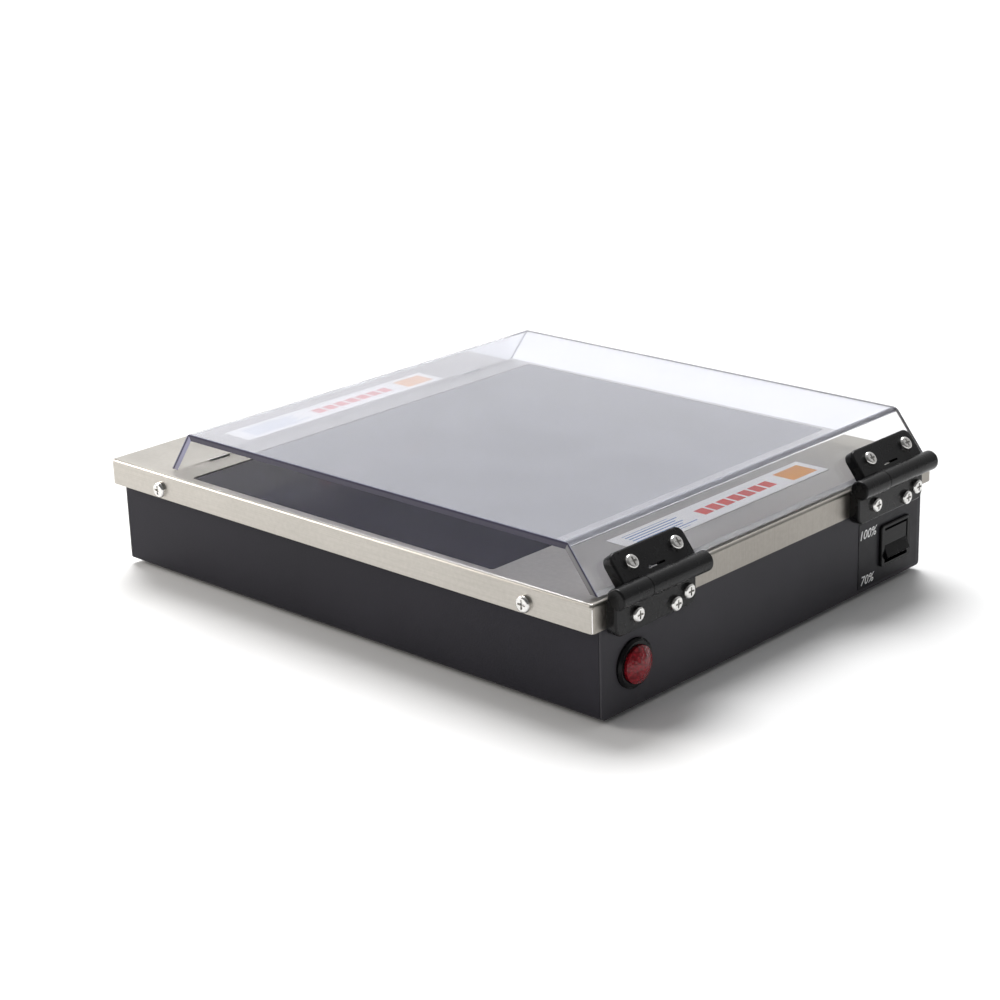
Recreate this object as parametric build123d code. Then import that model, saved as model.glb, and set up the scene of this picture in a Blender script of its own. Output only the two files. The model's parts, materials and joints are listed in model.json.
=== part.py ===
from build123d import *
import math
import os

# UV transilluminator: a shallow steel case with a bank of tubes under a dark filter glass, and a
# clear cover that swings up on two moulded hinges.
# Millimetres, +Z up, feet on z = 0. The long side runs along X and the hinges are on the +X side.
# Pieces are laid out about the middle of the lid, and the whole is shifted at the end.

# ---- lid -----------------------------------------------------------------------------------
lid_end_room = 38.5  # tube's end to the outside of the rim, shared between the two ends
lid_depth = 290.0
lid_top = 66.0  # upper face above the floor
lid_sheet = 1.0
lid_flange = 15.0  # height of the turned-down rim
lid_edge_radius = 1.8  # roll from the top into the rim
lid_corner_radius = 2.0
lid_screw_inset = 43.5
lid_screw_drop = 9.7  # below the lid's top

# ---- filter glass --------------------------------------------------------------------------
window_left_margin = 66.0  # lid's edge to the window
window_right_margin = 70.0
window_front_margin = 6.0
window_back_margin = 5.0
window_corner_radius = 2.0
glass_thickness = 5.0
glass_gap = 0.5  # around the glass, in the lid
glass_recess = 0.3  # glass below the lid's top
glass_bevel = 0.5
gasket_thickness = 0.8
gasket_width = 8.0

# ---- base ----------------------------------------------------------------------------------
foot_height = 3.0
foot_radius = 9.0
foot_taper = 8.0  # degrees, narrower at the floor
foot_inset_x = 30.0
foot_inset_y = 20.0
foot_recess = 1.8  # depth of the pocket for its screw head
base_sheet = 1.2
base_bend = 2.0  # outer bend radius of the sheet
base_inset_y = 7.5  # front and back walls inside the lid's rim
side_fit = 0.5  # end panel to the lid's rim
shell_lip = 14.0  # flanges turned in at the top of the walls
panel_flange = 7.0
panel_fit = 0.2  # panel flange inside the shell
panel_seam = 0.3  # between the shell's ends and the panels
vent_count = 9
vent_width = 3.0
vent_height = 20.0
vent_pitch = 9.0
vent_inset = 61.0  # middle of the row from the end panel

# ---- lamp bank -----------------------------------------------------------------------------
tube_count = 6
tube_bank_room = 35.0  # depth of the case that the tubes leave free
tube_radius = 8.0
tube_wall = 0.7
tube_length = 288.0  # over both end caps
tube_cap_length = 8.0
tube_x = -16.0
tube_bank_y = -8.0
tube_z = 35.0
tube_pin_radius = 1.2
tube_pin_length = 7.0
tube_pin_spacing = 4.8
socket_gap = 0.2  # tube's end to the socket
socket_depth = 10.0
socket_width = 18.0
socket_height = 26.0
socket_slot_fit = 0.2
bracket_sheet = 1.2
bracket_margin = 18.0  # beyond the outer tubes
bracket_top = 50.0
bracket_foot = 12.0
reflector_sheet = 0.8
reflector_z = 20.0
reflector_ridge = 10.0  # height and half width of the folds between tubes
reflector_margin = 20.0  # beyond the outer tubes
reflector_end_gap = 2.0
standoff_radius = 4.0
standoff_x = 100.0
rail_height = 13.0
rail_top_width = 14.0
rail_bottom_width = 8.0
rail_overlap = 2.0  # rail's web outside the glass edge

# ---- electrical pieces inside --------------------------------------------------------------
ballast_count = 3
ballast_row_inset = 47.5  # row's ends from the front and back walls
ballast_y = -2.0
ballast_width = 26.0
ballast_height = 22.0
ballast_spacing = 6.0
ballast_foot_reach = 5.0
ballast_foot_sheet = 1.2
ballast_gap = 3.0  # from the socket bracket
board_x = -10.0
board_inset = 13.5  # its middle from the back wall
board_length = 90.0
board_width = 18.0
board_sheet = 1.6
board_lift = 6.0
board_post_radius = 2.5
relay_length = 20.0
relay_width = 12.0
relay_height = 10.0
earth_gap = 5.0  # board's end to the stud's axis
earth_height = 12.0

# ---- mains inlet and fuse, back wall -------------------------------------------------------
inlet_inset = 73.0  # its middle from the end panel
inlet_z = 27.0
inlet_flange_length = 50.0
inlet_flange_height = 24.0
inlet_flange_thickness = 3.0
inlet_body_length = 27.5
inlet_body_height = 20.0
inlet_body_depth = 17.0
inlet_fit = 0.3
inlet_mouth_length = 24.0
inlet_mouth_height = 16.4
inlet_mouth_depth = 16.0
inlet_mouth_chamfer = 4.0
inlet_pin_length = 10.5
inlet_pin_width = 2.0
inlet_pin_height = 4.0
inlet_pin_spacing = 7.0
inlet_pin_offset = 2.0  # live and neutral below the middle, earth above it
inlet_screw_spacing = 40.0
inlet_wall_length = 60.0  # stretch of the back wall that carries it
inlet_wall_height = 40.0
fuse_step = 42.0  # from the middle of the inlet
fuse_radius = 6.0
fuse_rim_radius = 8.5
fuse_rim = 2.0
fuse_depth = 16.0
fuse_cap_radius = 5.4
fuse_cap_height = 5.0
fuse_cap_seat = 6.0
fuse_cap_bevel = 0.8
fuse_fit = 0.2

# ---- fasteners -----------------------------------------------------------------------------
screw_radius = 2.0
screw_head_radius = 4.0
screw_head_height = 2.4
lid_screw_head_radius = 4.5
pan_round = 0.6  # of the head's height
recess_depth = 0.6  # of the head's height
recess_span = 1.1  # of the head's radius
recess_width = 0.26  # of the head's radius
screw_fit = 0.15
small_screw_radius = 1.5
small_head_radius = 2.8
small_head_height = 1.6
nut_height = 3.0
nut_across = 7.0
spacer_radius = 3.6

# ---- hinges --------------------------------------------------------------------------------
hinge_near_margin = 46.5  # hinge's middle from the lid's front edge
hinge_far_margin = 42.5
knuckle_radius = 5.5
knuckle_gap = 0.3  # knuckle to the lid's rim
hinge_lift = 1.0  # axis above the lid's top
hinge_run = 0.4  # clearance between the moving halves
hinge_pin_radius = 2.5
hinge_pin_fit = 0.05
leaf_thickness = 6.0
leaf_corner = 5.0
leaf_edge = 1.2
leaf_clear = 0.6  # upper leaf above the lid
lower_leaf_near = -36.5  # along Y from the hinge's middle
lower_leaf_far = 25.0
lower_leaf_drop = 20.0  # below the axis
lower_leaf_shoulder = 4.0  # top edge under the turning knuckle, below the axis
lower_knuckle_end = -14.0
lower_screw_near = -21.0
lower_screw_far = 18.0
lower_screw_drop = 11.5
stop_screw_y = 8.0
stop_screw_drop = 15.0
stop_screw_depth = 4.0
upper_leaf_near = -26.0
upper_leaf_far = 29.5
upper_leaf_rise = 18.0  # up the wing from the lid
upper_screw_near = -14.5
upper_screw_far = 19.5
upper_screw_rise = 10.0
upper_knuckle_far = 32.5
upper_slot_y = 1.0
upper_slot_length = 13.0
upper_slot_width = 1.2
upper_slot_rise = 4.4
pin_end_wall = 2.5  # closed ends of the knuckles
backing_height = 8.0
backing_thickness = 3.0
backing_margin = 6.0
backing_fit = 0.3

# ---- cover ---------------------------------------------------------------------------------
cover_sheet = 4.0
cover_rise = 25.0  # top face above the lid
cover_left_margin = 62.5  # bend lines, on the outer face, from the lid's edges
cover_right_margin = 21.0
cover_wing_angle = 52.0  # hinged wing to the level
cover_free_angle = 55.0
cover_bend_radius = 5.0
cover_front_margin = 7.5
cover_back_margin = 4.0
cover_gap = 1.3  # lower edges above the lid
pad_gap = 0.3  # under the closed cover
pad_length = 14.0
pad_width = 6.0
pad_y = 105.0

# ---- label strips --------------------------------------------------------------------------
strip_width = 22.0
strip_length = 162.0
strip_sheet = 0.2
strip_right_inset = 40.5  # their middles from the lid's edges
strip_left_inset = 28.5
strip_y = 5.0

# ---- power button --------------------------------------------------------------------------
button_inset = 24.0  # from the front wall
button_z = 26.0
bezel_radius = 13.0
bezel_proud = 2.5
button_barrel_radius = 11.0
button_depth = 20.0
button_back = 2.0
button_radius = 9.75
button_run = 0.3
button_proud = 4.0  # straight part in front of the panel
button_dome = 3.5
button_tail = 12.0
button_nut_across = 27.0
button_nut_height = 4.0

# ---- intensity rocker ----------------------------------------------------------------------
rocker_inset = 26.5  # from the back wall
rocker_z = 25.0
rocker_width = 21.5
rocker_radius = 9.9
rocker_run = 0.3
rocker_tilt = 20.0
rocker_front = 1.4  # pressed half in front of the film
rocker_pivot_depth = 5.0  # axis behind the pressed half
rocker_back = 6.0
trunnion_radius = 1.5
trunnion_length = 1.2
trunnion_fit = 0.05
switch_bezel_width = 28.0
switch_bezel_height = 24.0
switch_bezel_proud = 1.8
switch_wall_y = 1.6
switch_wall_z = 0.8
switch_depth = 17.0
switch_fit = 0.2
terminal_length = 8.0
terminal_width = 4.8
terminal_sheet = 0.8
terminal_pitch = 7.0
film_sheet = 0.3
film_near_reach = 33.5  # from the rocker's middle
film_far_reach = 23.0
film_low = 5.0
film_high = 43.0

# ---- derived places ------------------------------------------------------------------------
lid_length = tube_length + 2 * lid_end_room
window_length = lid_length - window_left_margin - window_right_margin
window_depth = lid_depth - window_front_margin - window_back_margin
window_x = (window_left_margin - window_right_margin) / 2
window_y = (window_front_margin - window_back_margin) / 2
rim_x = lid_length / 2  # outer face of the lid's rim
rim_y = lid_depth / 2
lid_under = lid_top - lid_sheet
panel_x = rim_x - lid_sheet - side_fit  # outer face of the end panels
wall_y = rim_y - base_inset_y  # outer face of the front and back walls
glass_top = lid_top - glass_recess
glass_under = glass_top - glass_thickness
base_top = glass_under - gasket_thickness
base_height = base_top - foot_height
base_middle = (base_top + foot_height) / 2
floor_top = foot_height + base_sheet
lip_under = base_top - base_sheet
panel_inner = panel_x - base_sheet
shell_half = panel_inner - panel_seam + base_sheet
axis_x = rim_x + knuckle_gap + knuckle_radius
axis_z = lid_top + hinge_lift
hinge_reach = knuckle_gap + 2 * knuckle_radius
hinge_places = (-rim_y + hinge_near_margin, rim_y - hinge_far_margin)
lid_screw_x = rim_x - lid_screw_inset
vent_x = -panel_x + vent_inset
inlet_x = panel_x - inlet_inset
fuse_x = inlet_x - fuse_step
button_y = -wall_y + button_inset
rocker_y = wall_y - rocker_inset
film_near = rocker_y - film_near_reach
film_far = rocker_y + film_far_reach
tube_pitch = (2 * wall_y - tube_bank_room) / tube_count
bracket_half_width = (tube_count - 1) / 2 * tube_pitch + bracket_margin
ballast_pitch = 2 * (wall_y - ballast_row_inset) / ballast_count
ballast_foot_length = ballast_pitch - ballast_spacing
ballast_length = ballast_foot_length - 2 * ballast_foot_reach
board_y = wall_y - board_inset
earth_x = board_x + board_length / 2 + earth_gap
earth_y = board_y
tube_ys = [tube_bank_y + (i - (tube_count - 1) / 2) * tube_pitch for i in range(tube_count)]
tube_ends = (tube_x - tube_length / 2, tube_x + tube_length / 2)
cover_left = -rim_x + cover_left_margin
cover_right = rim_x - cover_right_margin
strip_left = -rim_x + strip_left_inset
strip_right = rim_x - strip_right_inset
wing_lean = 1 / math.tan(math.radians(cover_wing_angle))  # run for each unit of rise
free_lean = 1 / math.tan(math.radians(cover_free_angle))
wing_foot = cover_right + cover_rise * wing_lean  # outer faces of the wings at the lid's top
free_foot = cover_left - cover_rise * free_lean
cover_near = -rim_y + cover_front_margin
cover_far = rim_y - cover_back_margin


# ---- small builders ------------------------------------------------------------------------
def block(x, y, z):
    """Block between two limits on each axis."""
    return Pos(sum(x) / 2, sum(y) / 2, sum(z) / 2) * Box(x[1] - x[0], y[1] - y[0], z[1] - z[0])


def rod_x(x, y, z, radius):
    """Round bar along X."""
    return Pos(sum(x) / 2, y, z) * Rot(0, 90, 0) * Cylinder(radius, x[1] - x[0])


def rod_y(x, y, z, radius):
    """Round bar along Y."""
    return Pos(x, sum(y) / 2, z) * Rot(90, 0, 0) * Cylinder(radius, y[1] - y[0])


def rod_z(x, y, z, radius):
    """Round bar along Z."""
    return Pos(x, y, sum(z) / 2) * Cylinder(radius, z[1] - z[0])


def side_plane(x, y, z):
    """Sketch plane on the +X side: its x is Y, its y is Z, and it faces +X."""
    return Plane(origin=(x, y, z), x_dir=(0, 1, 0), z_dir=(1, 0, 0))


def back_plane(x, y, z):
    """Sketch plane on the back: its x is -X, its y is Z, and it faces +Y."""
    return Plane(origin=(x, y, z), x_dir=(-1, 0, 0), z_dir=(0, 1, 0))


def wing_plane(y):
    """Sketch plane on the hinged wing's outer face: its x is Y, and its y climbs the wing."""
    angle = math.radians(cover_wing_angle)
    outwards = (math.sin(angle), 0, math.cos(angle))
    return Plane(origin=(wing_foot, y, lid_top), x_dir=(0, 1, 0), z_dir=outwards)


def pan_screw(length, radius, head_radius, head_height):
    """Cross recess pan head screw with its seat at z = 0 and its head above."""
    head = extrude(Circle(head_radius), head_height)
    head = fillet(head.faces().sort_by(Axis.Z)[-1].edges(), pan_round * head_height)
    arm = Box(recess_span * head_radius, recess_width * head_radius, 2 * recess_depth * head_height)
    head -= Pos(0, 0, head_height) * (arm + Rot(0, 0, 90) * arm)
    return head + Pos(0, 0, -length / 2) * Cylinder(radius, length)


def hex_nut(across, height, bore):
    """Plain hexagon nut from z = 0 up."""
    return extrude(RegularPolygon(across / 2, 6, major_radius=False) - Circle(bore), height)


def rounded_tray(length, depth, height, corner, edge):
    """Solid block whose upright corners and top edges are rounded."""
    body = extrude(RectangleRounded(length, depth, corner), height)
    return fillet(body.faces().sort_by(Axis.Z)[-1].edges(), edge)


# ---- lid and glass -------------------------------------------------------------------------
def lid_screw_places():
    """Position and outward direction of each screw in the rim."""
    height = lid_top - lid_screw_drop
    return [(x, side * rim_y, height, side) for side in (-1, 1) for x in (-lid_screw_x, lid_screw_x)]


def rim_place(x, y, z, side):
    """Location on a wall that faces -Y or +Y, turned outwards."""
    return Plane(origin=(x, y, z), z_dir=(0, side, 0)).location


def steel_lid():
    """Deep drawn lid: an inverted tray with the window and the fastening holes."""
    outer = rounded_tray(lid_length, lid_depth, lid_flange, lid_corner_radius, lid_edge_radius)
    inner = rounded_tray(
        lid_length - 2 * lid_sheet,
        lid_depth - 2 * lid_sheet,
        lid_flange - lid_sheet,
        lid_corner_radius - lid_sheet,
        lid_edge_radius - lid_sheet,
    )
    opening = (window_length + 2 * glass_gap, window_depth + 2 * glass_gap)
    window = RectangleRounded(*opening, window_corner_radius)
    lid = Pos(0, 0, lid_top - lid_flange) * (outer - inner)
    lid -= Pos(window_x, window_y, lid_under - lid_sheet) * extrude(window, 3 * lid_sheet)
    hole = screw_radius + screw_fit
    for x, y, z, side in lid_screw_places():
        lid -= rod_y(x, (y - 2 * lid_sheet, y + 2 * lid_sheet), z, hole)
    for y, z in lower_screw_places():
        lid -= rod_x((rim_x - 2 * lid_sheet, rim_x + lid_sheet), y, z, hole)
    return lid


def lid_screws():
    """Screws through the rim into the spacers."""
    length = lid_sheet + base_inset_y - 2 * lid_sheet
    screw = pan_screw(length, screw_radius, lid_screw_head_radius, screw_head_height)
    return [rim_place(*place) * screw for place in lid_screw_places()]


def lid_spacers():
    """Tapped round spacers between the case walls and the rim."""
    ring = extrude(Circle(spacer_radius) - Circle(screw_radius + hinge_pin_fit), rim_y - lid_sheet - wall_y)
    return [rim_place(x, side * wall_y, z, side) * ring for x, _, z, side in lid_screw_places()]


def filter_glass():
    """Dark filter plate with ground edges."""
    outline = RectangleRounded(window_length, window_depth, window_corner_radius - glass_gap)
    plate = Pos(window_x, window_y, glass_under) * extrude(outline, glass_thickness)
    return chamfer(plate.faces().sort_by(Axis.Z)[-1].edges(), glass_bevel)


def gasket_length():
    """Outer length of the gasket, just inside the glass edge."""
    return window_length - 2 * lid_sheet


def filter_gasket():
    """Frame of sponge rubber under the glass."""
    depth = 2 * (wall_y - base_bend)
    outer = Rectangle(gasket_length(), depth)
    inner = Rectangle(gasket_length() - 2 * gasket_width, depth - 2 * gasket_width)
    return Pos(window_x, 0, base_top) * extrude(outer - inner, gasket_thickness)


def glass_rail(side):
    """Folded rail under one end of the glass, from front wall to back wall."""
    web = window_x + side * (window_length / 2 + rail_overlap)
    low = lip_under - rail_height
    top_half = wall_y - shell_lip - panel_fit
    length = (base_bend - wall_y, wall_y - base_bend)
    top = block(sorted((web, web - side * rail_top_width)), (-top_half, top_half), (lip_under, base_top))
    upright = block(sorted((web, web - side * base_sheet)), length, (low, lip_under))
    toe = block(sorted((web, web - side * rail_bottom_width)), length, (low, low + base_sheet))
    return top + upright + toe


# ---- base ----------------------------------------------------------------------------------
def foot_places():
    """Middle of each foot."""
    x = panel_x - foot_inset_x
    y = wall_y - foot_inset_y
    return [(i * x, j * y) for i in (-1, 1) for j in (-1, 1)]


def panel_screw_places():
    """Screws that hold the end panels' lower flanges to the floor."""
    x = panel_inner - panel_flange / 2
    return [(i * x, j * wall_y / 2) for i in (-1, 1) for j in (-1, 0, 1)]


def base_shell():
    """Floor, front wall and back wall folded from one sheet, with lips turned in at the top."""
    outer = RectangleRounded(2 * wall_y, base_height, base_bend)
    inner = RectangleRounded(2 * (wall_y - base_sheet), base_height - 2 * base_sheet, base_bend - base_sheet)
    mouth = Pos(0, base_height / 2) * Rectangle(2 * (wall_y - shell_lip), 4 * base_sheet)
    section = outer - inner - mouth
    half = shell_half - base_sheet
    shell = extrude(side_plane(-half, 0, base_middle) * section, 2 * half)
    shell -= inlet_wall_blank()
    shell -= rod_y(fuse_x, (wall_y - 2 * base_sheet, wall_y + base_sheet), inlet_z, fuse_radius + fuse_fit)
    for x, y in foot_places() + panel_screw_places():
        shell -= rod_z(x, y, (0, 2 * floor_top), small_screw_radius + screw_fit)
    slot = SlotOverall(vent_height, vent_width, rotation=90)
    cut = extrude(slot, 3 * base_sheet)
    for i in range(vent_count):
        x = vent_x + (i - (vent_count - 1) / 2) * vent_pitch
        shell -= back_plane(x, wall_y - 2 * base_sheet, inlet_z).location * cut
    return shell


def inlet_wall_blank():
    """Flat stretch of the back wall round the inlet, without its holes."""
    across = (inlet_x - inlet_wall_length / 2, inlet_x + inlet_wall_length / 2)
    height = (inlet_z - inlet_wall_height / 2, inlet_z + inlet_wall_height / 2)
    return block(across, (wall_y - base_sheet, wall_y), height)


def inlet_wall():
    """Stretch of the back wall that carries the inlet, flush with the shell."""
    wall = inlet_wall_blank() - inlet_cutout(inlet_fit)
    for x in inlet_screw_sites():
        reach = (wall_y - 2 * base_sheet, wall_y + base_sheet)
        wall -= rod_y(x, reach, inlet_z, small_screw_radius + screw_fit)
    return wall


def end_panel():
    """End panel on the +X side without cut-outs: a plate with a flange all round, inside the shell."""
    plate = RectangleRounded(2 * wall_y, base_height, base_bend)
    depth = 2 * (wall_y - base_sheet - panel_fit)
    height = base_height - 2 * (base_sheet + panel_fit)
    ring = RectangleRounded(depth, height, base_bend)
    ring -= Rectangle(depth - 2 * base_sheet, height - 2 * base_sheet)
    panel = extrude(side_plane(panel_inner, 0, base_middle) * plate, base_sheet)
    panel += extrude(side_plane(panel_inner - panel_flange, 0, base_middle) * ring, panel_flange)
    for x, y in panel_screw_places():
        if x > 0:
            panel -= rod_z(x, y, (0, 2 * floor_top), small_screw_radius + hinge_pin_fit)
    return panel


def side_panel_right():
    """End panel under the hinges, with holes for the button, the rocker and the hinge screws."""
    panel = end_panel()
    reach = (panel_inner - base_sheet, panel_x + base_sheet)
    panel -= rod_x(reach, button_y, button_z, button_barrel_radius + switch_fit)
    panel -= extrude(side_plane(reach[0], rocker_y, rocker_z) * switch_opening(), 3 * base_sheet)
    for y, z in lower_screw_places():
        panel -= rod_x(reach, y, z, screw_radius + screw_fit)
    for y in hinge_places:
        panel -= backing_block(y, 2 * panel_flange, backing_fit)
    return panel


def side_panel_left():
    """Plain end panel."""
    return mirror(end_panel(), about=Plane.YZ)


def panel_screws():
    """Small screws from below into the panels' flanges."""
    length = 2 * base_sheet + panel_fit + lid_sheet
    screw = pan_screw(length, small_screw_radius, small_head_radius, small_head_height)
    return [Pos(x, y, foot_height) * Rot(180, 0, 0) * screw for x, y in panel_screw_places()]


def rubber_feet():
    """Turned rubber feet with a pocket for the screw head."""
    foot = extrude(Circle(foot_radius), foot_height, taper=foot_taper)
    foot = Pos(0, 0, foot_height) * Rot(180, 0, 0) * foot
    foot -= Cylinder(small_head_radius + screw_fit, 2 * foot_recess)
    foot -= Cylinder(small_screw_radius + screw_fit, 4 * foot_height)
    return [Pos(x, y, 0) * foot for x, y in foot_places()]


def foot_screws():
    """Screws through the feet into the floor."""
    length = foot_height - foot_recess + 2 * base_sheet
    screw = pan_screw(length, small_screw_radius, small_head_radius, foot_recess - pad_gap)
    return [Pos(x, y, foot_recess) * Rot(180, 0, 0) * screw for x, y in foot_places()]


# ---- lamp bank -----------------------------------------------------------------------------
def uv_tube(y):
    """One tube, without its caps."""
    ends = (tube_ends[0] + tube_cap_length, tube_ends[1] - tube_cap_length)
    return rod_x(ends, y, tube_z, tube_radius) - rod_x(ends, y, tube_z, tube_radius - tube_wall)


def tube_caps():
    """Aluminium caps on both ends of each tube."""
    caps = []
    for y in tube_ys:
        caps.append(rod_x((tube_ends[0], tube_ends[0] + tube_cap_length), y, tube_z, tube_radius))
        caps.append(rod_x((tube_ends[1] - tube_cap_length, tube_ends[1]), y, tube_z, tube_radius))
    return caps


def tube_pins():
    """Contact pins, two at each end of each tube."""
    pins = []
    for y in tube_ys:
        for z in (tube_z - tube_pin_spacing / 2, tube_z + tube_pin_spacing / 2):
            pins.append(rod_x((tube_ends[0] - tube_pin_length, tube_ends[0]), y, z, tube_pin_radius))
            pins.append(rod_x((tube_ends[1], tube_ends[1] + tube_pin_length), y, z, tube_pin_radius))
    return pins


def socket_face(side):
    """X of the sockets' front faces at one end."""
    return tube_ends[(side + 1) // 2] + side * socket_gap


def lamp_sockets(side):
    """Sockets at one end of the bank, each with a slot for the two pins."""
    front = socket_face(side)
    slot_width = 2 * (tube_pin_radius + socket_slot_fit)
    body = extrude(RectangleRounded(socket_width, socket_height, tube_cap_length / 4), side * socket_depth)
    slot = SlotOverall(tube_pin_spacing + slot_width, slot_width, rotation=90)
    body -= extrude(slot, side * (tube_pin_length + socket_gap))
    return [side_plane(front, y, tube_z).location * body for y in tube_ys]


def socket_bracket(side):
    """Angle that carries the sockets, standing on the floor."""
    back = socket_face(side) + side * socket_depth
    across = (tube_bank_y - bracket_half_width, tube_bank_y + bracket_half_width)
    web = block(sorted((back, back + side * bracket_sheet)), across, (floor_top, bracket_top))
    foot_x = sorted((back + side * bracket_sheet, back - side * bracket_foot))
    return web + block(foot_x, across, (floor_top, floor_top + bracket_sheet))


def reflector_tray():
    """Folded reflector: a ridge between tubes and raised edges."""
    top = [(tube_ys[0] - reflector_margin, reflector_z + reflector_ridge)]
    top.append((tube_ys[0] - reflector_margin + reflector_ridge, reflector_z))
    for y in tube_ys[:-1]:
        ridge = y + tube_pitch / 2
        top.append((ridge - reflector_ridge, reflector_z))
        top.append((ridge, reflector_z + reflector_ridge))
        top.append((ridge + reflector_ridge, reflector_z))
    top.append((tube_ys[-1] + reflector_margin - reflector_ridge, reflector_z))
    top.append((tube_ys[-1] + reflector_margin, reflector_z + reflector_ridge))
    under = [(y, z - reflector_sheet) for y, z in reversed(top)]
    section = make_face(Polyline(*top, *under, close=True))
    start = tube_ends[0] + reflector_end_gap
    return extrude(side_plane(start, 0, 0) * section, tube_length - 2 * reflector_end_gap)


def reflector_standoffs():
    """Round posts between the floor and the reflector."""
    height = (floor_top, reflector_z - reflector_sheet)
    places = [(x, y) for x in (tube_x - standoff_x, tube_x + standoff_x) for y in (tube_ys[0], tube_ys[-1])]
    return [rod_z(x, y, height, standoff_radius) for x, y in places]


# ---- electrical pieces inside --------------------------------------------------------------
def ballast(index):
    """Potted ballast on its mounting foot."""
    y = ballast_y + (index - (ballast_count - 1) / 2) * ballast_pitch
    x = socket_face(1) + socket_depth + bracket_sheet + ballast_gap + ballast_width / 2
    foot = block(
        (x - ballast_width / 2, x + ballast_width / 2),
        (y - ballast_foot_length / 2, y + ballast_foot_length / 2),
        (floor_top, floor_top + ballast_foot_sheet),
    )
    body = extrude(RectangleRounded(ballast_width, ballast_length, ballast_gap), ballast_height)
    return foot + Pos(x, y, floor_top) * body


def control_board():
    """Circuit board of the two-step intensity control."""
    plate = Rectangle(board_length, board_width)
    return Pos(board_x, board_y, floor_top + board_lift) * extrude(plate, board_sheet)


def board_posts():
    """Posts under the board's corners."""
    x = board_length / 2 - 2 * board_post_radius
    y = board_width / 2 - 2 * board_post_radius
    height = (floor_top, floor_top + board_lift)
    places = [(board_x + i * x, board_y + j * y) for i in (-1, 1) for j in (-1, 1)]
    return [rod_z(*place, height, board_post_radius) for place in places]


def board_relays():
    """Relay and terminal block on the board."""
    top = floor_top + board_lift + board_sheet
    body = extrude(Rectangle(relay_length, relay_width), relay_height)
    return [Pos(board_x + side * board_length / 4, board_y, top) * body for side in (-1, 1)]


def earth_stud():
    """Welded earth stud with its nut."""
    stud = rod_z(earth_x, earth_y, (floor_top, floor_top + earth_height), screw_radius)
    nut = Pos(earth_x, earth_y, floor_top + nut_height) * hex_nut(nut_across, nut_height, screw_radius)
    return stud + nut


def inlet_cutout(fit):
    """Hole in the back wall for the inlet's body."""
    hole = Rectangle(inlet_body_length + 2 * fit, inlet_body_height + 2 * fit)
    return extrude(back_plane(inlet_x, wall_y - 2 * base_sheet, inlet_z) * hole, 3 * base_sheet)


def power_inlet():
    """Three pin mains inlet: flange outside, body inside, shaped mouth."""
    face = wall_y + inlet_flange_thickness
    flange = RectangleRounded(inlet_flange_length, inlet_flange_height, inlet_flange_height / 3)
    body = extrude(back_plane(inlet_x, wall_y, inlet_z) * flange, inlet_flange_thickness)
    barrel = Rectangle(inlet_body_length, inlet_body_height)
    body += extrude(back_plane(inlet_x, wall_y - inlet_body_depth, inlet_z) * barrel, inlet_body_depth)
    mouth = Rectangle(inlet_mouth_length, inlet_mouth_height)
    mouth = chamfer(mouth.vertices().sort_by(Axis.Y)[-2:], inlet_mouth_chamfer)
    body -= extrude(back_plane(inlet_x, face - inlet_mouth_depth, inlet_z) * mouth, inlet_mouth_depth)
    for x in inlet_screw_sites():
        body -= rod_y(x, (wall_y - base_sheet, face + base_sheet), inlet_z, small_screw_radius + screw_fit)
    return body


def inlet_pins():
    """Live, neutral and earth blades."""
    floor_y = wall_y + inlet_flange_thickness - inlet_mouth_depth
    outer = [(side * inlet_pin_spacing, -inlet_pin_offset) for side in (-1, 1)]
    places = outer + [(0, inlet_pin_offset)]
    blade = extrude(Rectangle(inlet_pin_width, inlet_pin_height), inlet_pin_length)
    return [back_plane(inlet_x - x, floor_y, inlet_z + z).location * blade for x, z in places]


def inlet_screw_sites():
    """X of the inlet's two screws."""
    return (inlet_x - inlet_screw_spacing / 2, inlet_x + inlet_screw_spacing / 2)


def inlet_screws():
    """Screws through the inlet's ears."""
    length = inlet_flange_thickness + base_sheet + nut_height
    screw = pan_screw(length, small_screw_radius, small_head_radius, small_head_height)
    face = wall_y + inlet_flange_thickness
    return [back_plane(x, face, inlet_z).location * screw for x in inlet_screw_sites()]


def inlet_nuts():
    """Nuts of the inlet's screws, inside the wall."""
    height = nut_height - lid_sheet
    nut = hex_nut(2 * small_head_radius, height, small_screw_radius + hinge_pin_fit)
    return [back_plane(x, wall_y - base_sheet - height, inlet_z).location * nut for x in inlet_screw_sites()]


def fuse_holder():
    """Round holder with a rim outside the wall."""
    rim = rod_y(fuse_x, (wall_y, wall_y + fuse_rim), inlet_z, fuse_rim_radius)
    barrel = rod_y(fuse_x, (wall_y - fuse_depth, wall_y), inlet_z, fuse_radius)
    seat = (wall_y - fuse_cap_seat, wall_y + 2 * fuse_rim)
    return rim + barrel - rod_y(fuse_x, seat, inlet_z, fuse_cap_radius + fuse_fit)


def fuse_cap():
    """Cap with a coin slot."""
    start = wall_y - fuse_cap_seat
    end = wall_y + fuse_rim + fuse_cap_height
    cap = rod_y(fuse_x, (start, end), inlet_z, fuse_cap_radius)
    cap = chamfer(cap.faces().sort_by(Axis.Y)[-1].edges(), fuse_cap_bevel)
    half = small_screw_radius / 2
    return cap - block(
        (fuse_x - fuse_cap_radius, fuse_x + fuse_cap_radius),
        (end - small_screw_radius, end + base_sheet),
        (inlet_z - half, inlet_z + half),
    )


# ---- hinges --------------------------------------------------------------------------------
def lower_screw_places():
    """Y and Z of the screws through both lower leaves."""
    height = axis_z - lower_screw_drop
    return [(y + step, height) for y in hinge_places for step in (lower_screw_near, lower_screw_far)]


def stop_screw_places():
    """Y and Z of the single stop screw in each lower leaf."""
    return [(y + stop_screw_y, axis_z - stop_screw_drop) for y in hinge_places]


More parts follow.
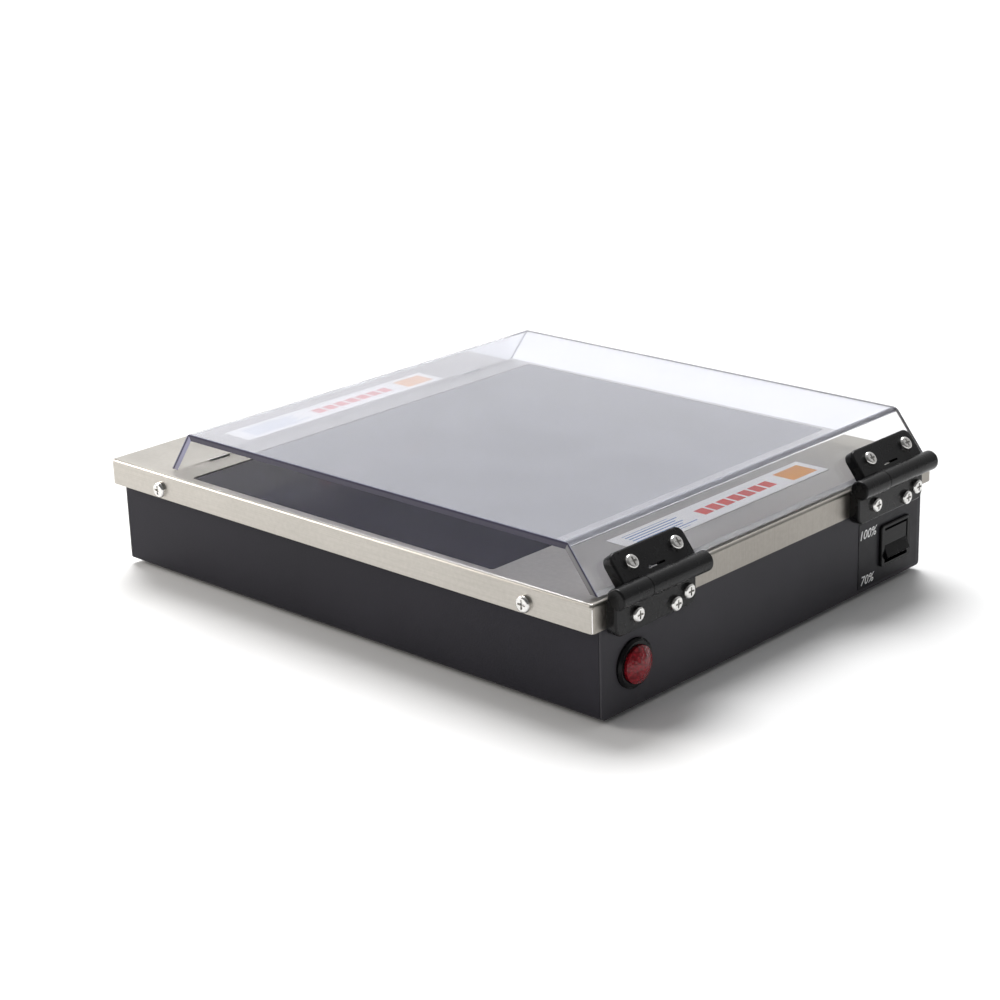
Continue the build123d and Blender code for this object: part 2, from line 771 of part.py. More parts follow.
def moulded_plate(low, high):
    """Leaf blank in its sketch plane, between two corners, with rounded corners and outer edges."""
    outline = RectangleRounded(high[0] - low[0], high[1] - low[1], leaf_corner)
    middle = Pos((low[0] + high[0]) / 2, (low[1] + high[1]) / 2)
    plate = extrude(middle * outline, leaf_thickness)
    return fillet(plate.faces().sort_by(Axis.Z)[-1].edges(), leaf_edge)


def hinge_lower_leaf(y):
    """Fixed half: leaf on the lid's rim, near knuckle, and a cradle under the turning knuckle."""
    near = (lower_leaf_near, lower_knuckle_end)
    top = axis_z - lower_leaf_shoulder
    plate = moulded_plate((lower_leaf_near, -lower_leaf_drop), (lower_leaf_far, leaf_corner))
    leaf = side_plane(rim_x, y, axis_z).location * plate
    leaf -= block(
        (rim_x - leaf_thickness, axis_x + knuckle_radius),
        (y + near[1], y + upper_knuckle_far + knuckle_radius),
        (top, axis_z + 2 * knuckle_radius),
    )
    leaf -= block(
        (rim_x - leaf_thickness, axis_x + knuckle_radius),
        (y + near[0] - leaf_edge, y + near[1]),
        (lid_top - lid_sheet, axis_z + 2 * knuckle_radius),
    )
    knuckle = rod_y(axis_x, (y + near[0], y + near[1]), axis_z, knuckle_radius)
    knuckle = fillet(knuckle.faces().sort_by(Axis.Y)[0].edges(), leaf_edge)
    sweep = knuckle_radius + hinge_run
    leaf -= rod_y(axis_x, (y + near[1], y + upper_knuckle_far + hinge_run), axis_z, sweep)
    leaf += knuckle
    bore = hinge_pin_radius + hinge_pin_fit
    leaf -= rod_y(axis_x, (y + near[0] + pin_end_wall, y + near[1] + hinge_run), axis_z, bore)
    for step in (lower_screw_near, lower_screw_far):
        hole = (rim_x - lid_sheet, rim_x + 2 * leaf_thickness)
        leaf -= rod_x(hole, y + step, axis_z - lower_screw_drop, screw_radius + screw_fit)
    face = rim_x + leaf_thickness
    stop = (face - stop_screw_depth - leaf_edge, face + leaf_edge)
    return leaf - rod_x(stop, y + stop_screw_y, axis_z - stop_screw_drop, screw_radius + hinge_pin_fit)


def hinge_upper_leaf(y):
    """Moving half: leaf on the wing, with the long knuckle."""
    plate = moulded_plate((upper_leaf_near, -upper_leaf_rise / 2), (upper_leaf_far, upper_leaf_rise))
    leaf = wing_plane(y).location * plate
    below = (lid_top - upper_leaf_rise, lid_top + leaf_clear)
    across = (y + lower_leaf_near, y + upper_knuckle_far)
    leaf -= block((wing_foot - upper_leaf_rise, axis_x + upper_leaf_rise), across, below)
    sweep = knuckle_radius + hinge_run
    start = lower_knuckle_end + hinge_run
    leaf -= rod_y(axis_x, (y + lower_leaf_near, y + start), axis_z, sweep)
    knuckle = rod_y(axis_x, (y + start, y + upper_knuckle_far), axis_z, knuckle_radius)
    knuckle = fillet(knuckle.faces().sort_by(Axis.Y)[-1].edges(), leaf_edge)
    leaf += knuckle
    bore = hinge_pin_radius + hinge_pin_fit
    leaf -= rod_y(axis_x, (y + start - hinge_run, y + upper_knuckle_far - pin_end_wall), axis_z, bore)
    drill = extrude(Circle(screw_radius + screw_fit), 2 * leaf_thickness)
    for step in (upper_screw_near, upper_screw_far):
        leaf -= wing_plane(y).location * Pos(step, upper_screw_rise, -lid_sheet) * drill
    slot = extrude(SlotOverall(upper_slot_length, upper_slot_width), 2 * leaf_thickness)
    return leaf - wing_plane(y).location * Pos(upper_slot_y, upper_slot_rise, -lid_sheet) * slot


def hinge_pin(y):
    """Steel pin, fixed in the lower knuckle."""
    ends = (y + lower_leaf_near + pin_end_wall + hinge_run, y + upper_knuckle_far - pin_end_wall - hinge_run)
    return rod_y(axis_x, ends, axis_z, hinge_pin_radius)


def hinge_lower_screws():
    """Screws through the lower leaves into the backing plates, and the stop screws."""
    length = leaf_thickness + rim_x - panel_inner + backing_thickness
    screw = pan_screw(length, screw_radius, screw_head_radius, screw_head_height)
    stop = pan_screw(stop_screw_depth, screw_radius, screw_head_radius, screw_head_height)
    face = rim_x + leaf_thickness
    placed = [side_plane(face, y, z).location * screw for y, z in lower_screw_places()]
    return placed + [side_plane(face, y, z).location * stop for y, z in stop_screw_places()]


def backing_block(y, depth, margin):
    """Space of one backing plate behind the end panel, widened by a margin."""
    across = (y + lower_screw_near - backing_margin - margin, y + lower_screw_far + backing_margin + margin)
    top = lip_under - panel_fit
    return block((panel_inner - depth, panel_inner), across, (top - backing_height, top + margin))


def hinge_backing_plates():
    """Tapped strips inside the end panel, behind the lower leaves."""
    plates = []
    for y in hinge_places:
        strip = backing_block(y, backing_thickness, 0)
        for step in (lower_screw_near, lower_screw_far):
            hole = (panel_inner - 2 * backing_thickness, panel_inner + backing_thickness)
            strip -= rod_x(hole, y + step, axis_z - lower_screw_drop, screw_radius + hinge_pin_fit)
        plates.append(strip)
    return plates


def upper_screw_sites():
    """Wing plane locations of the screws through both upper leaves."""
    return [
        wing_plane(y).location * Pos(step, upper_screw_rise, 0)
        for y in hinge_places
        for step in (upper_screw_near, upper_screw_far)
    ]


def hinge_upper_screws():
    """Screws through the upper leaves and the wing."""
    length = leaf_thickness + cover_sheet + nut_height
    screw = pan_screw(length, screw_radius, screw_head_radius, screw_head_height)
    return [site * Pos(0, 0, leaf_thickness) * screw for site in upper_screw_sites()]


def hinge_upper_nuts():
    """Nuts inside the wing."""
    nut = hex_nut(nut_across, nut_height, screw_radius + hinge_pin_fit)
    return [site * Pos(0, 0, -cover_sheet - nut_height) * nut for site in upper_screw_sites()]


# ---- cover ---------------------------------------------------------------------------------
def cover_section(inset, radius, low):
    """Trapezium of the cover's section, drawn inset from its outer face, down to one height."""
    top = lid_top + cover_rise - inset
    left = cover_left + inset * math.tan(math.radians(cover_free_angle / 2))
    right = cover_right - inset * math.tan(math.radians(cover_wing_angle / 2))
    left_foot = left - (top - low) * free_lean
    right_foot = right + (top - low) * wing_lean
    points = [(left_foot, low), (left, top), (right, top), (right_foot, low)]
    face = make_face(Polyline(*points, close=True))
    return fillet(face.vertices().sort_by(Axis.Y)[-2:], radius)


def acrylic_cover():
    """Clear sheet with two line bends, open at the front and the back."""
    outer = cover_section(0, cover_bend_radius, lid_top + cover_gap)
    inner = cover_section(cover_sheet, cover_bend_radius - cover_sheet, lid_top - cover_sheet)
    plane = Plane(origin=(0, cover_far, 0), x_dir=(1, 0, 0), z_dir=(0, -1, 0))
    sheet = extrude(plane * (outer - inner), cover_far - cover_near)
    drill = extrude(Circle(screw_radius + screw_fit), 3 * cover_sheet)
    for site in upper_screw_sites():
        sheet -= site * Pos(0, 0, -2 * cover_sheet) * drill
    return sheet


def cover_pads():
    """Rubber pads on the lid under the free wing's edge."""
    across = (free_foot - pad_width / 4, free_foot + 3 * pad_width / 4)
    height = (lid_top, lid_top + cover_gap - pad_gap)
    return [block(across, (y - pad_length / 2, y + pad_length / 2), height) for y in (-pad_y, pad_y)]


def label_strip(x):
    """Self-adhesive strip on the lid."""
    return Pos(x, strip_y, lid_top) * extrude(Rectangle(strip_width, strip_length), strip_sheet)


# ---- power button --------------------------------------------------------------------------
def turned_x(points):
    """Body turned about X from (x, radius) points."""
    return revolve(make_face(Polyline(*points, close=True)), Axis.X)


def button_housing():
    """Bezel and barrel of the illuminated power button."""
    bore = button_radius + button_run
    points = [
        (bezel_proud, bore),
        (bezel_proud, bezel_radius - bezel_proud / 2),
        (bezel_proud / 2, bezel_radius),
        (0, bezel_radius),
        (0, button_barrel_radius),
        (-button_depth - button_back, button_barrel_radius),
        (-button_depth - button_back, 0),
        (-button_depth, 0),
        (-button_depth, bore),
    ]
    return Pos(panel_x, button_y, button_z) * turned_x(points)


def power_button():
    """Red lens with a domed front and a straight skirt."""
    crown = button_proud + button_dome
    sphere = (button_radius**2 + button_dome**2) / (2 * button_dome)
    halfway = button_radius / 2
    flank = Line((button_proud, button_radius), (-button_tail, button_radius))
    back = Line((-button_tail, button_radius), (-button_tail, 0))
    axis = Line((-button_tail, 0), (crown, 0))
    arc_middle = (crown - sphere + math.sqrt(sphere**2 - halfway**2), halfway)
    dome = ThreePointArc((crown, 0), arc_middle, (button_proud, button_radius))
    lens = revolve(make_face(flank + back + axis + dome), Axis.X)
    return Pos(panel_x, button_y, button_z) * lens


def button_nut():
    """Hexagon nut of the barrel, inside the panel."""
    nut = hex_nut(button_nut_across, button_nut_height, button_barrel_radius + hinge_pin_fit)
    return side_plane(panel_inner - button_nut_height, button_y, button_z).location * nut


def terminal_tabs(x, y, z, places):
    """Push-on tabs that point into the case."""
    tab = Box(terminal_length, terminal_width, terminal_sheet)
    return [Pos(x - terminal_length / 2, y + step[0], z + step[1]) * tab for step in places]


def button_terminals():
    """Tabs behind the power button."""
    back = panel_x - button_depth - button_back
    return terminal_tabs(back, button_y, button_z, [(0, -terminal_pitch / 2), (0, terminal_pitch / 2)])


# ---- intensity rocker ----------------------------------------------------------------------
switch_face = panel_x + film_sheet
rocker_axis_x = switch_face + rocker_front - rocker_pivot_depth
switch_mouth_y = rocker_width + 2 * rocker_run
switch_mouth_z = 2 * (rocker_radius + rocker_run)


def switch_opening():
    """Outline of the hole for the switch body."""
    width = switch_mouth_y + 2 * (switch_wall_y + switch_fit)
    return Rectangle(width, switch_mouth_z + 2 * (switch_wall_z + switch_fit))


def switch_housing():
    """Bezel and body of the rocker switch, hollow for the rocker."""
    rim = RectangleRounded(switch_bezel_width, switch_bezel_height, switch_bezel_proud)
    bezel = extrude(side_plane(switch_face, rocker_y, rocker_z) * rim, switch_bezel_proud)
    bezel = chamfer(bezel.faces().sort_by(Axis.X)[-1].edges(), switch_bezel_proud / 4)
    walls = Rectangle(switch_mouth_y + 2 * switch_wall_y, switch_mouth_z + 2 * switch_wall_z)
    body = extrude(side_plane(switch_face - switch_depth, rocker_y, rocker_z) * walls, switch_depth)
    reach = rocker_axis_x - rocker_radius - rocker_run
    mouth = Rectangle(switch_mouth_y, switch_mouth_z)
    travel = switch_face + 2 * switch_bezel_proud - reach
    hollow = extrude(side_plane(reach, rocker_y, rocker_z) * mouth, travel)
    half = switch_mouth_y / 2 + trunnion_length
    bore = rod_y(rocker_axis_x, (rocker_y - half, rocker_y + half), rocker_z, trunnion_radius + trunnion_fit)
    return bezel + body - hollow - bore


def switch_rocker():
    """Rocker cut from a drum about its pivot, upper half pressed in, with its trunnions."""
    front = rocker_axis_x + rocker_pivot_depth
    slope = math.tan(math.radians(rocker_tilt))
    outline = [
        (rocker_axis_x - rocker_back, -rocker_radius),
        (rocker_axis_x - rocker_back, rocker_radius),
        (front, rocker_radius),
        (front, 0),
        (front + rocker_radius * slope, -rocker_radius),
    ]
    drum = Pos(rocker_axis_x, 0) * Circle(rocker_radius)
    section = make_face(Polyline(*outline, close=True)) & drum
    plane = Plane(origin=(0, rocker_y + rocker_width / 2, rocker_z), x_dir=(1, 0, 0), z_dir=(0, -1, 0))
    paddle = extrude(plane * section, rocker_width)
    half = rocker_width / 2 + trunnion_length
    return paddle + rod_y(rocker_axis_x, (rocker_y - half, rocker_y + half), rocker_z, trunnion_radius)


def switch_terminals():
    """Tabs behind the rocker switch, two poles with three tabs each."""
    places = [(i * terminal_pitch, j * terminal_pitch) for i in (-1, 1) for j in (-1, 0, 1)]
    return terminal_tabs(switch_face - switch_depth, rocker_y, rocker_z, places)


def legend_film():
    """Overlay beside and around the rocker switch."""
    blank = block((panel_x, switch_face), (film_near, film_far), (film_low, film_high))
    return blank - extrude(side_plane(panel_inner, rocker_y, rocker_z) * switch_opening(), 3 * base_sheet)


# ---- all nodes -----------------------------------------------------------------------------
nodes = {
    "steel_lid": steel_lid(),
    "lid_screws": lid_screws(),
    "lid_spacers": lid_spacers(),
    "filter_glass": filter_glass(),
    "filter_gasket": filter_gasket(),
    "glass_rail_left": glass_rail(-1),
    "glass_rail_right": glass_rail(1),
    "base_shell": base_shell(),
    "inlet_wall": inlet_wall(),
    "side_panel_left": side_panel_left(),
    "side_panel_right": side_panel_right(),
    "panel_screws": panel_screws(),
    "rubber_feet": rubber_feet(),
    "foot_screws": foot_screws(),
    "tube_caps": tube_caps(),
    "tube_pins": tube_pins(),
    "lamp_sockets_left": lamp_sockets(-1),
    "lamp_sockets_right": lamp_sockets(1),
    "socket_bracket_left": socket_bracket(-1),
    "socket_bracket_right": socket_bracket(1),
    "reflector_tray": reflector_tray(),
    "reflector_standoffs": reflector_standoffs(),
    "control_board": control_board(),
    "board_posts": board_posts(),
    "board_relays": board_relays(),
    "earth_stud": earth_stud(),
    "power_inlet": power_inlet(),
    "inlet_pins": inlet_pins(),
    "inlet_fasteners": inlet_screws() + inlet_nuts(),
    "fuse_holder": fuse_holder(),
    "fuse_cap": fuse_cap(),
    "hinge_lower_screws": hinge_lower_screws(),
    "hinge_backing_plates": hinge_backing_plates(),
    "hinge_pins": [hinge_pin(y) for y in hinge_places],
    "hinge_upper_screws": hinge_upper_screws(),
    "hinge_upper_nuts": hinge_upper_nuts(),
    "acrylic_cover": acrylic_cover(),
    "cover_pads": cover_pads(),
    "label_strips": [label_strip(x) for x in (strip_left, strip_right)],
    "button_housing": button_housing(),
    "power_button": power_button(),
    "button_nut": button_nut(),
    "button_terminals": button_terminals(),
    "switch_housing": switch_housing(),
    "switch_rocker": switch_rocker(),
    "switch_terminals": switch_terminals(),
    "legend_film": legend_film(),
}
for number, tube_y in enumerate(tube_ys, start=1):
    nodes[f"uv_tube_{number}"] = uv_tube(tube_y)
for number in range(ballast_count):
    nodes[f"ballast_{number + 1}"] = ballast(number)
for place, middle in zip(("near", "far"), hinge_places):
    nodes[f"hinge_lower_leaf_{place}"] = hinge_lower_leaf(middle)
    nodes[f"hinge_upper_leaf_{place}"] = hinge_upper_leaf(middle)

# The origin lies under the middle of the whole, so the lid moves by half of what the hinges add.
to_middle = Pos(-hinge_reach / 2, 0, 0)
os.makedirs("parts", exist_ok=True)
for name, shape in nodes.items():
    solids = shape if isinstance(shape, list) else [shape]
    export_step(Compound(children=[to_middle * solid for solid in solids]), f"parts/{name}.step")
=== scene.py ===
import json
import logging
import math
from dataclasses import dataclass
from enum import Enum
from typing import Protocol

import bmesh
import bpy
from mathutils import Matrix, Vector


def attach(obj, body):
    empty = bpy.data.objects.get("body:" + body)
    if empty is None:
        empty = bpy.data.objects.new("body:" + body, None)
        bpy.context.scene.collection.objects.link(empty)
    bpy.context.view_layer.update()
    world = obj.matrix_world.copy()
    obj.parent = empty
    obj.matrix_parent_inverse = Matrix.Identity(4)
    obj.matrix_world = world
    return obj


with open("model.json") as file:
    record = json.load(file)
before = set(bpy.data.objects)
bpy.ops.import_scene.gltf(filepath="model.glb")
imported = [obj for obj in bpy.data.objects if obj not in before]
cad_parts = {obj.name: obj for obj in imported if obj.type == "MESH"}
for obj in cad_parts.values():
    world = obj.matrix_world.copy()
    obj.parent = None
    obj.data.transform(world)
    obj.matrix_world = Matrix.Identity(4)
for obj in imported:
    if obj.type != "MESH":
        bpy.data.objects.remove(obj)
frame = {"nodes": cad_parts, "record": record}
LOG = logging.getLogger("uv_transilluminator")
MM = 0.001
Colour = tuple[float, float, float]
Point = tuple[float, float, float]
Socket = bpy.types.NodeSocket
Value = float | Socket
Paint = Colour | Socket
MIX_FIRST, MIX_SECOND, MIX_RESULT = 6, 7, 2


class Axis(Enum):
    """Axis of the part's frame that a surface faces."""

    X = 0
    Y = 1
    Z = 2


# ---- shader trees --------------------------------------------------------------------------
class Recipe:
    """Node tree of one material, written a step at a time."""

    def __init__(self, name: str) -> None:
        """Start an empty material.

        Args:
            name: Name of the material.
        """
        self.material = bpy.data.materials.new(name)
        self.material.use_nodes = True
        self.tree = self.material.node_tree
        self.tree.nodes.clear()
        self.output = self.tree.nodes.new("ShaderNodeOutputMaterial")
        self.place = self.tree.nodes.new("ShaderNodeTexCoord")

    def add(self, kind: str, settings: dict | None = None, sockets: dict | None = None) -> bpy.types.Node:
        """Add one node.

        Args:
            kind: Blender's name for the node type.
            settings: Values for the node's own properties.
            sockets: Numbers, colours or other nodes' outputs for its inputs.

        Returns:
            The new node.
        """
        node = self.tree.nodes.new(kind)
        for key, value in (settings or {}).items():
            setattr(node, key, value)
        for key, value in (sockets or {}).items():
            self.feed(node.inputs[key], value)
        return node

    def feed(self, socket: Socket, value: Value | tuple[float, ...]) -> None:
        """Link an output to a socket, or set the socket's own value.

        Args:
            socket: Input that is fed.
            value: Another node's output, or a number, vector or colour.
        """
        if isinstance(value, Socket):
            self.tree.links.new(value, socket)
        elif socket.type == "RGBA":
            socket.default_value = (*value, 1.0)
        else:
            socket.default_value = value

    def where(self, scale: Point) -> Socket:
        """Object coordinates, stretched by a scale on each axis.

        Args:
            scale: Units per metre along each axis.

        Returns:
            The coordinates.
        """
        sockets = {"Vector": self.place.outputs["Object"], "Scale": scale}
        return self.add("ShaderNodeMapping", sockets=sockets).outputs["Vector"]

    def position(self) -> tuple[Socket, ...]:
        """Position on the part.

        Returns:
            X, Y and Z in metres.
        """
        split = self.add("ShaderNodeSeparateXYZ", sockets={"Vector": self.place.outputs["Object"]})
        return tuple(split.outputs)

    def noise(self, scale: Point, detail: float = 3.0) -> Socket:
        """Noise from 0 to 1.

        Args:
            scale: Features per metre along each axis.
            detail: Octaves of finer noise.

        Returns:
            The noise value.
        """
        sockets = {"Vector": self.where(scale), "Scale": 1.0, "Detail": detail}
        return self.add("ShaderNodeTexNoise", sockets=sockets).outputs["Fac"]

    def grit(self, per_metre: float, detail: float = 3.0) -> Socket:
        """Noise from 0 to 1 that is as fine along every axis.

        Args:
            per_metre: Features per metre.
            detail: Octaves of finer noise.

        Returns:
            The noise value.
        """
        return self.noise((per_metre, per_metre, per_metre), detail)

    def span(self, value: Socket, low: float, high: float, start: float = 0.3, end: float = 0.7) -> Socket:
        """Spread a value over a range.

        Args:
            value: What is spread.
            low: Result at start.
            high: Result at end.
            start: Value that gives low; noise seldom falls below the usual one.
            end: Value that gives high; noise seldom rises above the usual one.

        Returns:
            The result, held within the range.
        """
        sockets = {"Value": value, "From Min": start, "From Max": end, "To Min": low, "To Max": high}
        return self.add("ShaderNodeMapRange", sockets=sockets).outputs["Result"]

    def tint(self, share: Socket, first: Paint, second: Paint) -> Socket:
        """Colour between two colours.

        Args:
            share: 0 for the first, 1 for the second.
            first: Colour, or an output that carries one.
            second: Colour, or an output that carries one.

        Returns:
            The mixed colour.
        """
        node = self.add("ShaderNodeMix", {"data_type": "RGBA"})
        self.feed(node.inputs[0], share)
        self.feed(node.inputs[MIX_FIRST], first)
        self.feed(node.inputs[MIX_SECOND], second)
        return node.outputs[MIX_RESULT]

    def multiply(self, first: Paint, second: Paint) -> Socket:
        """Product of two colours.

        Args:
            first: Colour, or an output that carries one.
            second: Colour, or an output that carries one.

        Returns:
            The product.
        """
        node = self.add("ShaderNodeMix", {"data_type": "RGBA", "blend_type": "MULTIPLY"}, {0: 1.0})
        self.feed(node.inputs[MIX_FIRST], first)
        self.feed(node.inputs[MIX_SECOND], second)
        return node.outputs[MIX_RESULT]

    def math(self, operation: str, first: Value, second: Value = 0.0) -> Socket:
        """One arithmetic step on two values.

        Args:
            operation: Blender's name for the step.
            first: First value.
            second: Second value.

        Returns:
            The result.
        """
        node = self.add("ShaderNodeMath", {"operation": operation})
        self.feed(node.inputs[0], first)
        self.feed(node.inputs[1], second)
        return node.outputs[0]

    def blend(self, share: float, first: Value, second: Value) -> Socket:
        """Weighted sum of two values.

        Args:
            share: Weight of the first; the second has the rest.
            first: First value.
            second: Second value.

        Returns:
            The sum.
        """
        rest = self.math("MULTIPLY", second, 1.0 - share)
        return self.math("ADD", self.math("MULTIPLY", first, share), rest)

    def facing(self, axis: Axis, limit: float = 0.7) -> Socket:
        """Tell where the surface faces along an axis, either way.

        Args:
            axis: The axis.
            limit: Least size of the normal's part along it.

        Returns:
            1 where it does and 0 elsewhere.
        """
        split = self.add("ShaderNodeSeparateXYZ", sockets={"Vector": self.place.outputs["Normal"]})
        size = self.math("ABSOLUTE", split.outputs[axis.value])
        return self.math("GREATER_THAN", size, limit)

    def relief(self, height: Socket, distance: float) -> Socket:
        """Bump the surface.

        Args:
            height: Height from 0 to 1.
            distance: What a height of 1 is worth in metres.

        Returns:
            The bumped normal.
        """
        sockets = {"Height": height, "Distance": distance, "Strength": 1.0}
        return self.add("ShaderNodeBump", sockets=sockets).outputs["Normal"]

    def shader(self, sockets: dict) -> Socket:
        """Principled shader with the given sockets."""
        return self.add("ShaderNodeBsdfPrincipled", sockets=sockets).outputs["BSDF"]

    def either(self, share: Socket, first: Socket, second: Socket) -> Socket:
        """Choose between two shaders.

        Args:
            share: 0 for the first, 1 for the second.
            first: First shader.
            second: Second shader.

        Returns:
            The mixed shader.
        """
        return self.add("ShaderNodeMixShader", sockets={0: share, 1: first, 2: second}).outputs[0]

    def finish(self, shader: Socket) -> bpy.types.Material:
        """Send a shader to the output and return the material."""
        self.tree.links.new(shader, self.output.inputs["Surface"])
        return self.material


# ---- finishes ------------------------------------------------------------------------------
class Coat(Protocol):
    """Anything that can make a material."""

    def build(self) -> bpy.types.Material:
        """Make the material.

        Returns:
            The finished material.
        """


@dataclass(frozen=True)
class BrushedSteel:
    """Stainless sheet with a fine straight grain that turns down the end flanges, with painted shade
    darkening its top and its end flanges.
    """

    name: str = "brushed_stainless"
    light: Colour = (0.505, 0.481, 0.443)
    dark: Colour = (0.372, 0.352, 0.320)
    # Painted shade: factors that darken the end flanges and the top.
    end_painted_shade: Colour = (0.72, 0.71, 0.70)
    top_painted_shade: Colour = (0.88, 0.88, 0.885)
    fine: float = 2100.0
    along: float = 30.0
    clouding: Point = (11.0, 16.0, 16.0)
    mottling: float = 420.0
    rough: tuple[float, float] = (0.28, 0.40)
    scratch: float = 0.008 * MM

    def build(self) -> bpy.types.Material:
        """Make the material.

        Returns:
            The finished material.
        """
        r = Recipe(self.name)
        on_end = r.facing(Axis.X)
        flat = r.noise((self.along, self.fine, self.fine))
        ends = r.noise((self.fine, self.fine, self.along))
        grain = r.math("ADD", r.math("MULTIPLY", flat, r.math("SUBTRACT", 1.0, on_end)),
                       r.math("MULTIPLY", ends, on_end))
        cloud = r.noise(self.clouding, 4.0)
        stain = r.blend(0.615, cloud, r.grit(self.mottling))
        colour = r.tint(r.span(r.blend(0.35, grain, stain), 0.0, 1.0), self.dark, self.light)
        # Painted shade: faces that face up or down are darkened, then the end flanges are darkened more.
        colour = r.tint(r.facing(Axis.Z), colour, r.multiply(colour, self.top_painted_shade))
        colour = r.tint(on_end, colour, r.multiply(colour, self.end_painted_shade))
        return r.finish(r.shader({
            "Base Color": colour, "Metallic": 1.0,
            "Roughness": r.span(r.blend(0.6, grain, cloud), *self.rough),
            "Normal": r.relief(grain, self.scratch),
        }))


@dataclass(frozen=True)
class PowderCoat:
    """Charcoal powder coat with a fine orange peel."""

    name: str = "charcoal_powder_coat"
    tone: Colour = (0.0215, 0.0205, 0.0265)
    lift: Colour = (0.0285, 0.0270, 0.0345)
    speck: Colour = (0.050, 0.048, 0.056)
    peel: float = 900.0
    depth: float = 0.06 * MM

    def build(self) -> bpy.types.Material:
        """Make the material.

        Returns:
            The finished material.
        """
        r = Recipe(self.name)
        cloud = r.grit(14.0, 4.0)
        speck = r.grit(3200.0, 1.0)
        colour = r.tint(r.span(cloud, 0.0, 1.0), self.tone, self.lift)
        colour = r.tint(r.span(speck, 0.0, 0.35, 0.62, 0.8), colour, self.speck)
        return r.finish(r.shader({
            "Base Color": colour, "Roughness": r.span(cloud, 0.44, 0.54), "Specular IOR Level": 0.12,
            "Normal": r.relief(r.grit(self.peel), self.depth),
        }))


@dataclass(frozen=True)
class MouldedPlastic:
    """Injection moulding with a spark-eroded texture."""

    name: str
    tone: Colour
    rough: float = 0.42
    grain: float = 0.03 * MM
    per_metre: float = 2200.0
    specular: float = 0.5

    def build(self) -> bpy.types.Material:
        """Make the material.

        Returns:
            The finished material.
        """
        r = Recipe(self.name)
        lift = tuple(min(1.0, c * 1.5 + 0.004) for c in self.tone)
        return r.finish(r.shader({
            "Base Color": r.tint(r.span(r.grit(40.0), 0.0, 0.6), self.tone, lift),
            "Roughness": r.span(r.grit(120.0), self.rough - 0.05, self.rough + 0.08),
            "Specular IOR Level": self.specular,
            "Normal": r.relief(r.grit(self.per_metre, 2.0), self.grain),
        }))


@dataclass(frozen=True)
class PlatedMetal:
    """Turned, plated or rolled metal with faint handling marks."""

    name: str
    tone: Colour
    rough: float = 0.16
    per_metre: float = 700.0
    nick: float = 0.008 * MM

    def build(self) -> bpy.types.Material:
        """Make the material.

        Returns:
            The finished material.
        """
        r = Recipe(self.name)
        marks = r.grit(self.per_metre, 4.0)
        dull = tuple(c * 0.78 for c in self.tone)
        colour = r.tint(r.span(marks, 0.0, 1.0), dull, self.tone)
        return r.finish(r.shader({
            "Base Color": colour, "Metallic": 1.0, "Roughness": r.span(marks, self.rough, self.rough + 0.12),
            "Normal": r.relief(marks, self.nick),
        }))


